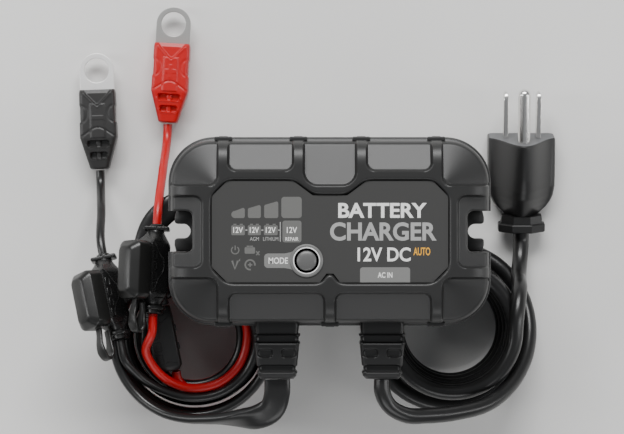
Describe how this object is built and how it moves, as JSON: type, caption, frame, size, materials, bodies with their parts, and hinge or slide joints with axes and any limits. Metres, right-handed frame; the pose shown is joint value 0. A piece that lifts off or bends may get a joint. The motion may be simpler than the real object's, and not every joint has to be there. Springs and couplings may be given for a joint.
{
  "type": "car battery charger",
  "caption": "Ribbed sealed case with a mode button and side mounting lugs, a wound mains lead with a plug, and wound leads with fuse holders and ring terminals.",
  "frame": {"origin": "centre of the case's bounding box", "axes": "+X to the case's right, +Y towards its top edge (the cords leave its bottom edge), +Z out of its front"},
  "size_m": [0.1855, 0.1595, 0.0853],
  "materials": {
    "case_plastic": "black ABS with a fine satin texture",
    "label_plastic": "matt dark grey faceplate",
    "button_plastic": "smooth grey button",
    "bezel_plastic": "light grey moulded plastic",
    "clear_plastic": "clear acrylic",
    "cord_rubber": "black PVC with a soft sheen",
    "red_rubber": "red PVC with a soft sheen",
    "plated_metal": "bright nickel plate",
    "board_green": "green solder mask",
    "ferrite": "dull grey ferrite",
    "copper_winding": "enamelled copper wire",
    "capacitor_sleeve": "dark blue sleeve",
    "aluminium": "extruded aluminium",
    "fuse_plastic": "tinted clear plastic"
  },
  "bodies": {
    "root": {"rear_shell": "case_plastic", "front_cover": "case_plastic", "mode_switch": "case_plastic", "label_panel": "label_plastic", "button_bezel": "bezel_plastic", "ac_terminal_block": "bezel_plastic", "dc_terminal_block": "bezel_plastic", "charge_light_guide": "clear_plastic", "gasket": "cord_rubber", "ac_strain_relief": "cord_rubber", "dc_strain_relief": "cord_rubber", "ac_cord": "cord_rubber", "ac_cord_coil": "cord_rubber", "ac_cord_tail": "cord_rubber", "dc_cable": "cord_rubber", "dc_cable_coil": "cord_rubber", "dc_cable_end": "cord_rubber", "lead_coil": "cord_rubber", "black_lead": "cord_rubber", "black_lead_start": "cord_rubber", "black_battery_lead": "cord_rubber", "plug_body": "cord_rubber", "plug_collar": "cord_rubber", "cable_splitter": "cord_rubber", "black_fuse_holder": "cord_rubber", "red_fuse_holder": "cord_rubber", "black_cap_tether": "cord_rubber", "red_cap_tether": "cord_rubber", "black_boot": "cord_rubber", "red_lead": "red_rubber", "red_lead_start": "red_rubber", "red_battery_lead": "red_rubber", "red_boot": "red_rubber", "case_screw_1": "plated_metal", "case_screw_2": "plated_metal", "case_screw_3": "plated_metal", "case_screw_4": "plated_metal", "line_blade": "plated_metal", "neutral_blade": "plated_metal", "ground_pin": "plated_metal", "black_ring_terminal": "plated_metal", "red_ring_terminal": "plated_metal", "circuit_board": "board_green", "control_board": "board_green", "transformer_core": "ferrite", "transformer_winding": "copper_winding", "mains_capacitor": "capacitor_sleeve", "output_capacitor": "capacitor_sleeve", "heat_spreader": "aluminium", "black_blade_fuse": "fuse_plastic", "red_blade_fuse": "fuse_plastic"},
    "black_fuse_cap": {"black_fuse_cap": "cord_rubber"},
    "red_fuse_cap": {"red_fuse_cap": "cord_rubber"},
    "mode_button": {"mode_button": "button_plastic"}
  },
  "joints": [
    {"name": "mode_button_press", "type": "slide", "parent": "root", "child": "mode_button", "axis": [0, 0, -1], "range_m": [0, 0.0008], "stiffness_N_per_m": 1500},
    {"name": "black_cap_pull", "type": "slide", "parent": "root", "child": "black_fuse_cap", "axis": [-0.7248, 0.0035, 0.689], "range_m": [0, 0.009], "deforming": ["black_cap_tether"]},
    {"name": "red_cap_pull", "type": "slide", "parent": "root", "child": "red_fuse_cap", "axis": [-0.7033, 0.1133, 0.7018], "range_m": [0, 0.009], "deforming": ["red_cap_tether"]}
  ]
}
